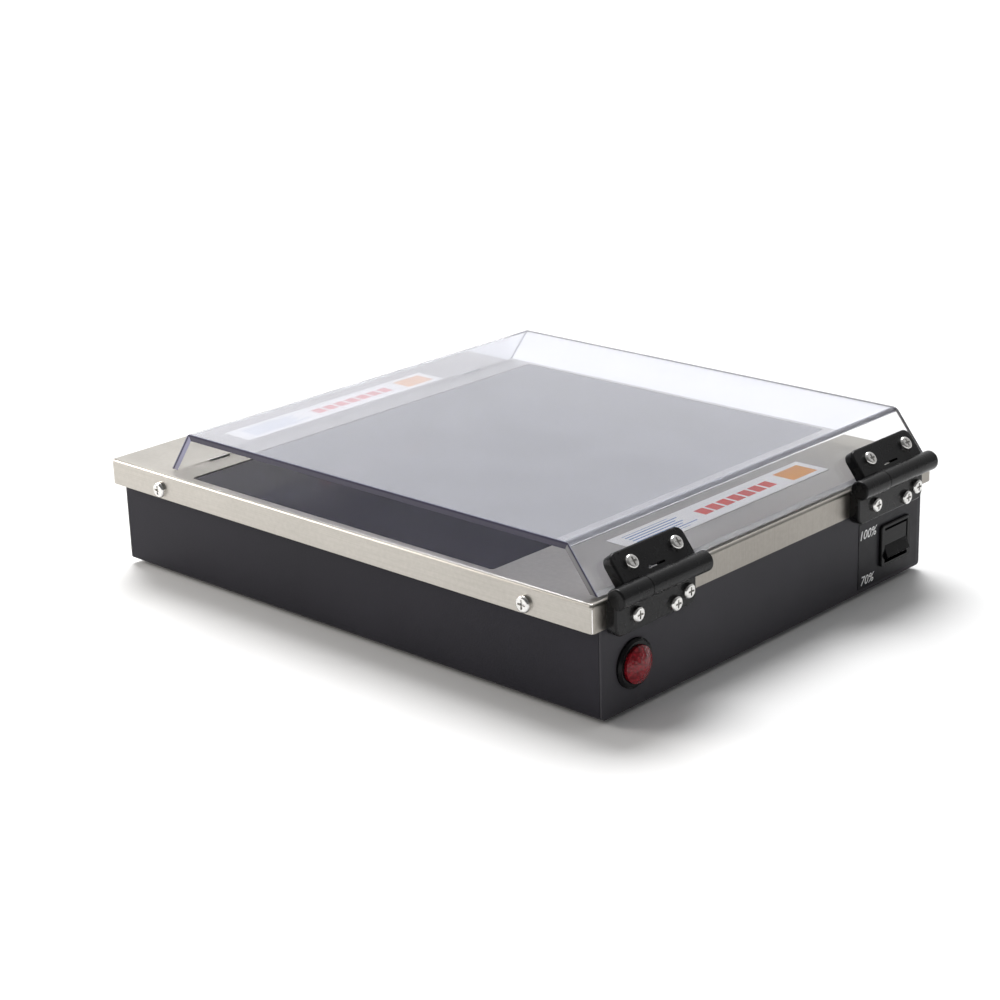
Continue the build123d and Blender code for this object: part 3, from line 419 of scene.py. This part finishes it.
@dataclass(frozen=True)
class ClearSheet:
    """Clear acrylic sheet with a milky film and a painted bluish sheen on its flat top, and saw-cut ends
    painted with light and shade.
    """

    name: str = "clear_acrylic"
    face: Colour = (0.972, 0.976, 0.985)
    # Bluish colour of the flat top: milky film and painted sheen.
    hazed_sheen: Colour = (0.900, 0.915, 1.0)
    # Painted light on the saw-cut ends: a pale highlight along the top edge, painted shade in the dark band
    # under it and on the ends of the flat top, and lighter painted tones on the free and hinged wing ends.
    arris_highlight: Colour = (0.34, 0.35, 0.46)
    core_shade: Colour = (0.018, 0.015, 0.042)
    deep: Colour = (0.052, 0.047, 0.074)
    over_lid_light: Colour = (0.235, 0.230, 0.240)
    free_end_light: Colour = (0.30, 0.295, 0.42)
    # Grey tint of the wings' foot faces: painted shade that draws a darker line along each foot.
    foot: Colour = (0.42, 0.41, 0.42)
    top_z: float = 91.0 * MM
    lid_z: float = 66.0 * MM
    foot_z: float = 72.0 * MM
    free_foot: float = -143.155 * MM
    free_angle: float = 55.0
    hinged_foot: float = 175.38 * MM
    hinged_angle: float = 52.0
    clear: float = 0.985
    haze_and_sheen: tuple[float, float] = (0.115, 0.150)
    arris_highlight_ends: tuple[float, float] = (0.25 * MM, 0.55 * MM)
    core_shade_ends: tuple[float, float] = (1.0 * MM, 1.9 * MM)

    def below(self, r: Recipe, x: Socket, z: Socket, side: int, foot: float, angle: float) -> Socket:
        """Depth below one wing's outer face.

        Args:
            r: Recipe that the steps go into.
            x: Position along X.
            z: Position along Z.
            side: -1 for the free wing, 1 for the hinged one.
            foot: X of the wing's outer face at the lid's top.
            angle: Degrees from the wing to the level.

        Returns:
            The depth in metres.
        """
        lean = math.radians(angle)
        out = r.math("MULTIPLY", r.math("SUBTRACT", foot, x), side * math.sin(lean))
        return r.math("ADD", out, r.math("MULTIPLY", r.math("SUBTRACT", self.lid_z, z), math.cos(lean)))

    def cut_face_light_and_shade(self, r: Recipe) -> Socket:
        """Colour of the saw-cut ends, all painted light and shade: a painted highlight along the top edge,
        painted shade in a dark band under it and paler painted tones on the rest.

        Args:
            r: Recipe that the steps go into.

        Returns:
            The colour.
        """
        x, _, z = r.position()
        top = r.math("SUBTRACT", self.top_z, z)
        free = self.below(r, x, z, -1, self.free_foot, self.free_angle)
        hinged = self.below(r, x, z, 1, self.hinged_foot, self.hinged_angle)
        wings = r.math("MINIMUM", free, hinged)
        on_wing = r.math("LESS_THAN", wings, top)
        depth = r.math("MINIMUM", wings, top)
        # Painted light on the wing ends: a lighter violet tone on the free wing and a grey one over the lid
        # on the hinged wing.
        wing = r.tint(r.math("GREATER_THAN", x, 0.0), self.free_end_light, self.over_lid_light)
        inner_shade = r.tint(on_wing, self.deep, wing)
        # Painted shade in a dark band under the painted highlight along the top edge.
        core_shade = r.tint(r.span(depth, 0.0, 1.0, *self.core_shade_ends), self.core_shade, inner_shade)
        return r.tint(r.span(depth, 0.0, 1.0, *self.arris_highlight_ends), self.arris_highlight, core_shade)

    def build(self) -> bpy.types.Material:
        """Make the material.

        Returns:
            The finished material.
        """
        r = Recipe(self.name)
        smear = r.noise((22.0, 35.0, 22.0), 5.0)
        on_top = r.facing(Axis.Z, 0.95)
        # On the flat top only, less light is let through: a milky film together with painted sheen.
        haze_and_sheen = r.math("MULTIPLY", r.span(smear, *self.haze_and_sheen), on_top)
        clear = r.shader({
            "Base Color": r.tint(on_top, self.face, self.hazed_sheen), "IOR": 1.49,
            "Transmission Weight": r.math("SUBTRACT", self.clear, haze_and_sheen),
            "Roughness": r.span(smear, 0.0, 0.004, 0.5, 0.8),
        })
        saw = r.noise((400.0, 60.0, 4000.0), 2.0)
        # The saw-cut ends take the painted light and shade of the cut-face colour.
        cut = r.shader({
            "Base Color": self.cut_face_light_and_shade(r), "Transmission Weight": 0.12, "IOR": 1.49, "Roughness": 0.25,
            "Specular IOR Level": 0.25, "Normal": r.relief(saw, 0.01 * MM),
        })
        # Wings' foot faces: rough saw cut, with a grey tint of painted shade.
        foot = r.shader({
            "Base Color": self.foot, "Transmission Weight": 0.55, "IOR": 1.49,
            "Roughness": r.span(saw, 0.3, 0.5), "Specular IOR Level": 0.2,
        })
        low = r.math("LESS_THAN", r.position()[2], self.foot_z)
        at_foot = r.math("MULTIPLY", r.facing(Axis.Z), low)
        return r.finish(r.either(at_foot, r.either(r.facing(Axis.Y, 0.9), clear, cut), foot))


@dataclass(frozen=True)
class FilterGlass:
    """Dark violet filter glass, polished."""

    name: str = "violet_filter_glass"
    deep: Colour = (0.020, 0.017, 0.030)
    lit: Colour = (0.032, 0.029, 0.043)

    def build(self) -> bpy.types.Material:
        """Make the material.

        Returns:
            The finished material.
        """
        r = Recipe(self.name)
        cloud = r.grit(7.0, 4.0)
        wipe = r.noise((60.0, 9.0, 60.0), 5.0)
        return r.finish(r.shader({
            "Base Color": r.tint(r.span(cloud, 0.0, 1.0), self.deep, self.lit),
            "Roughness": r.span(wipe, 0.05, 0.13), "Specular IOR Level": 0.16, "IOR": 1.45,
        }))


@dataclass(frozen=True)
class TubeGlass:
    """Clear lamp glass with a faint violet cast."""

    name: str = "lamp_glass"
    tone: Colour = (0.84, 0.83, 0.95)
    pale: Colour = (0.95, 0.95, 1.0)

    def build(self) -> bpy.types.Material:
        """Make the material.

        Returns:
            The finished material.
        """
        r = Recipe(self.name)
        cloud = r.noise((30.0, 60.0, 60.0), 3.0)
        return r.finish(r.shader({
            "Base Color": r.tint(r.span(cloud, 0.0, 1.0), self.tone, self.pale),
            "Transmission Weight": 0.9, "IOR": 1.5, "Roughness": r.span(cloud, 0.03, 0.1),
        }))


@dataclass(frozen=True)
class ClearRubber:
    """Clear soft rubber of the pads under the free wing."""

    name: str = "clear_rubber"
    tone: Colour = (0.74, 0.74, 0.74)
    milky: Colour = (0.84, 0.84, 0.83)

    def build(self) -> bpy.types.Material:
        """Make the material.

        Returns:
            The finished material.
        """
        r = Recipe(self.name)
        cloud = r.grit(300.0)
        return r.finish(r.shader({
            "Base Color": r.tint(r.span(cloud, 0.0, 1.0), self.tone, self.milky),
            "Transmission Weight": 0.2, "IOR": 1.41, "Roughness": r.span(cloud, 0.3, 0.45),
        }))


@dataclass(frozen=True)
class Lens:
    """Red indicator lens with a beaded diffuser behind its skin, the bead centres lighter with painted
    glints.
    """

    name: str = "red_lens"
    tone: Colour = (0.140, 0.003, 0.008)
    # Lighter red at the bead centres: painted glints.
    bead_glint: Colour = (0.400, 0.015, 0.026)
    beads: float = 620.0
    facet: float = 0.35 * MM

    def build(self) -> bpy.types.Material:
        """Make the material.

        Returns:
            The finished material.
        """
        r = Recipe(self.name)
        sockets = {"Vector": r.where((self.beads,) * 3), "Scale": 1.0, "Smoothness": 0.6}
        bead = r.add("ShaderNodeTexVoronoi", {"feature": "SMOOTH_F1"}, sockets).outputs["Distance"]
        cloud = r.grit(330.0)
        share = r.math("MULTIPLY", r.span(bead, 1.0, 0.0, 0.1, 0.75), r.span(cloud, 0.45, 1.0))
        return r.finish(r.shader({
            "Base Color": r.tint(share, self.tone, self.bead_glint), "Roughness": r.span(cloud, 0.12, 0.22),
            "Specular IOR Level": 0.3, "Coat Weight": 0.2, "Coat Roughness": 0.04,
            "Normal": r.relief(bead, self.facet),
        }))


@dataclass(frozen=True)
class PrintedStrip:
    """White vinyl strips printed with rules, a row of dashes and a block, the same on both."""

    name: str = "printed_strip"
    paper: Colour = (0.93, 0.915, 0.875)
    clean: Colour = (0.985, 0.97, 0.935)
    blue: Colour = (0.045, 0.19, 0.48)
    red: Colour = (0.74, 0.028, 0.012)
    orange: Colour = (0.86, 0.33, 0.02)
    middles: tuple[float, float] = (136.35 * MM, -159.65 * MM)
    rules: tuple[float, float] = (-68.0 * MM, -20.0 * MM)
    rule_half: float = 7.8 * MM
    rule_pitch: float = 2.6 * MM
    rule_share: tuple[float, float] = (0.34, 0.66)
    middle_row: float = 100.5
    ragged: float = 12.0 * MM
    bar: tuple[float, float] = (-14.0 * MM, 50.2 * MM)
    bar_half: float = 4.2 * MM
    bar_pitch: float = 9.17 * MM
    dash_share: float = 0.8
    block: tuple[float, float] = (59.0 * MM, 81.0 * MM)
    block_half: float = 7.2 * MM

    def within(self, r: Recipe, value: Socket, low: float, high: float) -> Socket:
        """Tell where a value lies between two limits.

        Args:
            r: Recipe that the steps go into.
            value: The value.
            low: Lower limit.
            high: Upper limit.

        Returns:
            1 where it does and 0 elsewhere.
        """
        above = r.math("GREATER_THAN", value, low)
        return r.math("MULTIPLY", above, r.math("LESS_THAN", value, high))

    def ruled(self, r: Recipe, across: Socket, y: Socket) -> Socket:
        """Ruled lines of uneven length.

        Args:
            r: Recipe that the steps go into.
            across: Distance from the strip's middle line.
            y: Position along the strip.

        Returns:
            1 on a line and 0 elsewhere.
        """
        row = r.math("ADD", r.math("DIVIDE", across, self.rule_pitch), self.middle_row)
        inked = self.within(r, r.math("FRACT", row), *self.rule_share)
        number = r.math("FLOOR", row)
        chance = r.add("ShaderNodeTexWhiteNoise", {"noise_dimensions": "1D"}, {"W": number})
        end = r.span(chance.outputs["Value"], self.rules[1] - self.ragged, self.rules[1], 0.0, 1.0)
        inked = r.math("MULTIPLY", inked, r.math("LESS_THAN", y, end))
        inked = r.math("MULTIPLY", inked, r.math("GREATER_THAN", y, self.rules[0]))
        return r.math("MULTIPLY", inked, self.within(r, across, -self.rule_half, self.rule_half))

    def dashed(self, r: Recipe, across: Socket, y: Socket) -> Socket:
        """Row of dashes.

        Args:
            r: Recipe that the steps go into.
            across: Distance from the strip's middle line.
            y: Position along the strip.

        Returns:
            1 on a dash and 0 elsewhere.
        """
        in_row = self.within(r, across, -self.bar_half, self.bar_half)
        row = r.math("MULTIPLY", self.within(r, y, *self.bar), in_row)
        step = r.math("FRACT", r.math("DIVIDE", r.math("SUBTRACT", y, self.bar[0]), self.bar_pitch))
        return r.math("MULTIPLY", row, r.math("LESS_THAN", step, self.dash_share))

    def build(self) -> bpy.types.Material:
        """Make the material.

        Returns:
            The finished material.
        """
        r = Recipe(self.name)
        x, y, _ = r.position()
        on_right = r.math("GREATER_THAN", x, 0.0)
        across = r.math("SUBTRACT", x, r.span(on_right, self.middles[1], self.middles[0], 0.0, 1.0))
        on_block = r.math("MULTIPLY", self.within(r, y, *self.block),
                          self.within(r, across, -self.block_half, self.block_half))
        scuff = r.noise((90.0, 30.0, 90.0), 4.0)
        colour = r.tint(r.span(scuff, 0.0, 1.0), self.paper, self.clean)
        colour = r.tint(self.ruled(r, across, y), colour, self.blue)
        colour = r.tint(self.dashed(r, across, y), colour, self.red)
        colour = r.tint(on_block, colour, self.orange)
        return r.finish(r.shader({
            "Base Color": colour, "Roughness": r.span(scuff, 0.28, 0.4),
            "Normal": r.relief(r.grit(500.0, 2.0), 0.01 * MM),
        }))


# ---- what the CAD nodes wear ---------------------------------------------------------------
class Finish(Enum):
    """Finishes of the whole part, by the name of their material slot."""

    STAINLESS = "stainless"
    BASE_PAINT = "base_paint"
    BRIGHT_STEEL = "bright_steel"
    ZINC_STEEL = "zinc_steel"
    BRIGHT_ALUMINIUM = "bright_aluminium"
    CLEAR_ACRYLIC = "clear_acrylic"
    FILTER_GLASS = "filter_glass"
    TUBE_GLASS = "tube_glass"
    BLACK_MOULDING = "black_moulding"
    BLACK_GLOSS = "black_gloss"
    WHITE_MOULDING = "white_moulding"
    RED_LENS = "red_lens"
    RUBBER_BLACK = "rubber_black"
    RUBBER_CLEAR = "rubber_clear"
    STRIP_VINYL = "strip_vinyl"
    FILM_BLACK = "film_black"
    BOARD_LAMINATE = "board_laminate"
    BRASS = "brass"


RECIPES: dict[Finish, Coat] = {
    Finish.STAINLESS: BrushedSteel(),
    Finish.BASE_PAINT: PowderCoat(),
    Finish.BRIGHT_STEEL: PlatedMetal("bright_steel", (0.80, 0.79, 0.77), 0.13),
    Finish.ZINC_STEEL: PlatedMetal("zinc_plate", (0.60, 0.61, 0.60), 0.3, 260.0),
    Finish.BRIGHT_ALUMINIUM: PlatedMetal("bright_aluminium", (0.86, 0.87, 0.88), 0.12, 160.0),
    Finish.CLEAR_ACRYLIC: ClearSheet(),
    Finish.FILTER_GLASS: FilterGlass(),
    Finish.TUBE_GLASS: TubeGlass(),
    Finish.BLACK_MOULDING: MouldedPlastic("black_moulding", (0.0065, 0.0065, 0.0070), 0.24, specular=0.2),
    Finish.BLACK_GLOSS: MouldedPlastic(
        "black_gloss", (0.0045, 0.0045, 0.0050), 0.2, 0.01 * MM, specular=0.15),
    Finish.WHITE_MOULDING: MouldedPlastic("white_moulding", (0.62, 0.62, 0.60), 0.45),
    Finish.RED_LENS: Lens(),
    Finish.RUBBER_BLACK: MouldedPlastic("black_rubber", (0.018, 0.018, 0.018), 0.68, 0.06 * MM, 900.0),
    Finish.RUBBER_CLEAR: ClearRubber(),
    Finish.STRIP_VINYL: PrintedStrip(),
    Finish.FILM_BLACK: MouldedPlastic("printed_film", (0.019, 0.0185, 0.022), 0.34, 0.01 * MM, 1500.0, 0.15),
    Finish.BOARD_LAMINATE: MouldedPlastic("board_laminate", (0.02, 0.12, 0.05), 0.35),
    Finish.BRASS: PlatedMetal("brass", (0.72, 0.54, 0.26), 0.22),
}
# Lighter, more violet copy of the charcoal powder coat for both end panels: painted light on the sides.
PAINTED_LIGHT_END_COAT = PowderCoat("end_panel_painted_light_coat", (0.049, 0.0475, 0.054), (0.061, 0.059, 0.067), (0.082, 0.080, 0.089))
LEGEND_INK = MouldedPlastic("legend_ink", (0.90, 0.90, 0.90), 0.5, 0.005 * MM)


@dataclass
class Wardrobe:
    """Dresses every CAD node in the material of its slot, then gives the end panels a lighter copy of the
    powder coat as painted light.
    """

    record: dict
    painted_light_end_panels: tuple[str, ...] = ("side_panel_left", "side_panel_right")

    def materials(self) -> dict[str, bpy.types.Material]:
        """Build each finish once.

        Returns:
            Materials by slot name.
        """
        return {finish.value: recipe.build() for finish, recipe in RECIPES.items()}

    def dress(self, nodes: dict[str, bpy.types.Object]) -> dict[str, bpy.types.Material]:
        """Give every CAD node its finish.

        Args:
            nodes: The frame's CAD nodes by name.

        Returns:
            Materials by slot name, for the pieces that are added.
        """
        made = self.materials()
        for entry in self.record["subparts"]:
            node = nodes[entry["node"]]
            node.material_slots[0].material = made[entry["material_slot"]]
            LOG.info("%s wears %s", node.name, entry["material_slot"])
        # Painted light: the end panels wear a lighter copy of the powder coat.
        coat = PAINTED_LIGHT_END_COAT.build()
        for name in self.painted_light_end_panels:
            nodes[name].material_slots[0].material = coat
        return made


# ---- pieces that the scene adds ------------------------------------------------------------
def make_piece(bm: bmesh.types.BMesh, name: str, material: bpy.types.Material) -> bpy.types.Object:
    """Turn a bmesh into an object at the origin.

    Args:
        bm: The mesh, placed in metres; it is freed.
        name: Name of the piece.
        material: Its finish.

    Returns:
        The new object.
    """
    mesh = bpy.data.meshes.new(name)
    bm.to_mesh(mesh)
    bm.free()
    mesh.materials.append(material)
    piece = bpy.data.objects.new(name, mesh)
    bpy.context.scene.collection.objects.link(piece)
    return piece


@dataclass
class Legend:
    """Printed percentages beside the intensity rocker."""

    face_x: float = 175.65 * MM
    ink: float = 0.04 * MM
    size: float = 7.4 * MM
    bold: float = 0.07 * MM
    slant: float = 0.25
    marks: tuple[tuple[str, float, float], ...] = (
        ("100%", 77.5 * MM, 33.5 * MM),
        ("70%", 79.5 * MM, 6.8 * MM),
    )

    def mark(self, text: str, y: float, z: float) -> bpy.types.Mesh:
        """Letter one mark on the film.

        Args:
            text: The figures to letter.
            y: Left end of the mark.
            z: Its base line.

        Returns:
            A mesh in the part's frame.
        """
        curve = bpy.data.curves.new("legend_text", "FONT")
        curve.body = text
        curve.size = self.size
        curve.shear = self.slant
        curve.offset = self.bold
        curve.extrude = self.ink / 2
        curve.resolution_u = 3
        holder = bpy.data.objects.new("legend_text", curve)
        bpy.context.scene.collection.objects.link(holder)
        bpy.context.view_layer.update()
        mesh = bpy.data.meshes.new_from_object(holder)
        bpy.data.objects.remove(holder)
        turn = Matrix(((0, 0, 1, self.face_x), (1, 0, 0, y), (0, 1, 0, z), (0, 0, 0, 1)))
        mesh.transform(turn)
        return mesh

    def build(self, material: bpy.types.Material) -> bpy.types.Object:
        """Make both marks one piece that rides on the base.

        Args:
            material: The ink.

        Returns:
            The lettering.
        """
        bm = bmesh.new()
        for text, y, z in self.marks:
            mesh = self.mark(text, y, z)
            bm.from_mesh(mesh)
            bpy.data.meshes.remove(mesh)
        piece = make_piece(bm, "intensity_legend", material)
        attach(piece, "base")
        return piece


@dataclass
class CornerWelds:
    """Ground weld beads down the four corners of the lid's rim."""

    half_x: float = 182.5 * MM
    half_y: float = 145.0 * MM
    middle_x: float = -5.65 * MM
    corner: float = 2.0 * MM
    low: float = 51.3 * MM
    high: float = 63.6 * MM
    radius: float = 0.35 * MM
    sides: int = 10

    def bead(self, bm: bmesh.types.BMesh, side_x: int, side_y: int) -> None:
        """Add one bead.

        Args:
            bm: Mesh that takes the bead.
            side_x: -1 or 1, the end of the lid.
            side_y: -1 or 1, its front or its back.
        """
        inward = self.corner * (1 - math.sqrt(0.5))
        x = self.middle_x + side_x * (self.half_x - inward)
        y = side_y * (self.half_y - inward)
        made = bmesh.ops.create_cone(bm, cap_ends=True, segments=self.sides, radius1=self.radius,
                                     radius2=self.radius, depth=self.high - self.low)
        place = Matrix.Translation((x, y, (self.high + self.low) / 2))
        bmesh.ops.transform(bm, matrix=place, verts=made["verts"])

    def build(self, material: bpy.types.Material) -> bpy.types.Object:
        """Make all four beads one piece.

        Args:
            material: Their polished steel.

        Returns:
            The beads.
        """
        bm = bmesh.new()
        for side_x in (-1, 1):
            for side_y in (-1, 1):
                self.bead(bm, side_x, side_y)
        piece = make_piece(bm, "lid_corner_welds", material)
        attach(piece, "base")
        return piece


# ---- studio --------------------------------------------------------------------------------
@dataclass(frozen=True)
class Softbox:
    """Rectangular soft light."""

    name: str
    place: Point
    aim: Point
    size: tuple[float, float]
    power: float
    colour: Colour

    def hang(self) -> bpy.types.Object:
        """Hang the light so that it faces its aim.

        Returns:
            The light.
        """
        data = bpy.data.lights.new(self.name, "AREA")
        data.shape = "RECTANGLE"
        data.size, data.size_y = self.size
        data.energy = self.power
        data.color = self.colour
        light = bpy.data.objects.new(self.name, data)
        light.location = self.place
        light.rotation_euler = (Vector(self.aim) - Vector(self.place)).to_track_quat("-Z", "Y").to_euler()
        bpy.context.scene.collection.objects.link(light)
        return light


@dataclass
class Studio:
    """Pale floor, soft lights and the camera."""

    eye: Point = (0.8343, -0.8978, 0.4660)
    azimuth: float = 43.53
    elevation: float = 19.1
    roll: float = -1.81
    focal_pixels: float = 2280.0
    frame_pixels: float = 1000.0
    sensor: float = 36.0
    far_clip: float = 50.0
    floor_half: float = 20.0
    floor_tones: tuple[Colour, Colour] = ((0.90, 0.90, 0.90), (0.93, 0.93, 0.93))
    bright_side: Point = (-0.69, 0.72, 0.30)
    sky_ends: tuple[float, float] = (-0.3, 0.95)
    sky_range: tuple[float, float] = (0.16, 0.86)
    key_from: Point = (-0.70, 0.57, 1.45)
    key_power: float = 2.9
    key_spread: float = 34.0
    front_left: Softbox = Softbox("front_left", (-1.0, -0.75, 0.5), (-0.25, -0.25, 0.0), (0.6, 0.5), 8.0,
                                  (1.0, 0.96, 0.91))

    def camera(self) -> bpy.types.Object:
        """Set up the camera.

        Returns:
            The scene's camera.
        """
        az, el, roll = (math.radians(a) for a in (self.azimuth, self.elevation, self.roll))
        ahead = Vector((-math.sin(az) * math.cos(el), math.cos(az) * math.cos(el), -math.sin(el)))
        level = Vector((math.cos(az), math.sin(az), 0.0))
        upright = level.cross(ahead)
        right = level * math.cos(roll) + upright * math.sin(roll)
        up = upright * math.cos(roll) - level * math.sin(roll)
        data = bpy.data.cameras.new("camera")
        data.sensor_width = self.sensor
        data.lens = self.focal_pixels / self.frame_pixels * self.sensor
        data.clip_end = self.far_clip
        camera = bpy.data.objects.new("camera", data)
        turn = Matrix((right, up, -ahead)).transposed().to_4x4()
        camera.matrix_world = Matrix.Translation(self.eye) @ turn
        bpy.context.scene.collection.objects.link(camera)
        bpy.context.scene.camera = camera
        return camera

    def floor(self) -> bpy.types.Object:
        """Lay the pale floor.

        Returns:
            The floor.
        """
        r = Recipe("pale_floor")
        colour = r.tint(r.span(r.grit(2.0), 0.0, 1.0), *self.floor_tones)
        material = r.finish(r.shader({"Base Color": colour, "Roughness": 0.9, "Specular IOR Level": 0.1}))
        bm = bmesh.new()
        bmesh.ops.create_grid(bm, x_segments=8, y_segments=8, size=self.floor_half)
        floor = make_piece(bm, "floor", material)
        return floor

    def sky(self) -> bpy.types.World:
        """Surround the scene with a studio that is bright behind the object and dim in front of it.

        Returns:
            The world.
        """
        world = bpy.data.worlds.new("studio")
        world.use_nodes = True
        tree = world.node_tree
        place = tree.nodes.new("ShaderNodeTexCoord")
        toward = tree.nodes.new("ShaderNodeVectorMath")
        toward.operation = "DOT_PRODUCT"
        toward.inputs[1].default_value = Vector(self.bright_side).normalized()
        fall = tree.nodes.new("ShaderNodeMapRange")
        fall.inputs["From Min"].default_value, fall.inputs["From Max"].default_value = self.sky_ends
        fall.inputs["To Min"].default_value, fall.inputs["To Max"].default_value = self.sky_range
        background = tree.nodes["Background"]
        background.inputs["Color"].default_value = (1.0, 1.0, 1.0, 1.0)
        tree.links.new(place.outputs["Generated"], toward.inputs[0])
        tree.links.new(toward.outputs["Value"], fall.inputs["Value"])
        tree.links.new(fall.outputs["Result"], background.inputs["Strength"])
        bpy.context.scene.world = world
        return world

    def key(self) -> bpy.types.Object:
        """Hang the large soft key light behind the object.

        Returns:
            The light.
        """
        data = bpy.data.lights.new("key", "SUN")
        data.energy = self.key_power
        data.angle = math.radians(self.key_spread)
        light = bpy.data.objects.new("key", data)
        light.rotation_euler = Vector(self.key_from).to_track_quat("Z", "Y").to_euler()
        bpy.context.scene.collection.objects.link(light)
        return light

    def build(self) -> None:
        """Make the whole studio."""
        self.camera()
        self.floor()
        self.sky()
        self.key()
        self.front_left.hang()
        bpy.context.scene.view_settings.view_transform = "Standard"


def main() -> None:
    """Dress the CAD nodes, add the pieces they lack and set the studio."""
    logging.basicConfig(level=logging.INFO, format="%(name)s: %(message)s")
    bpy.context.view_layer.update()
    made = Wardrobe(frame["record"]).dress(frame["nodes"])
    legend = Legend().build(LEGEND_INK.build())
    welds = CornerWelds().build(made[Finish.BRIGHT_STEEL.value])
    for piece in (legend, welds):
        LOG.info("%s: %d faces", piece.name, len(piece.data.polygons))
    Studio().build()


if __name__ == "__main__":
    main()
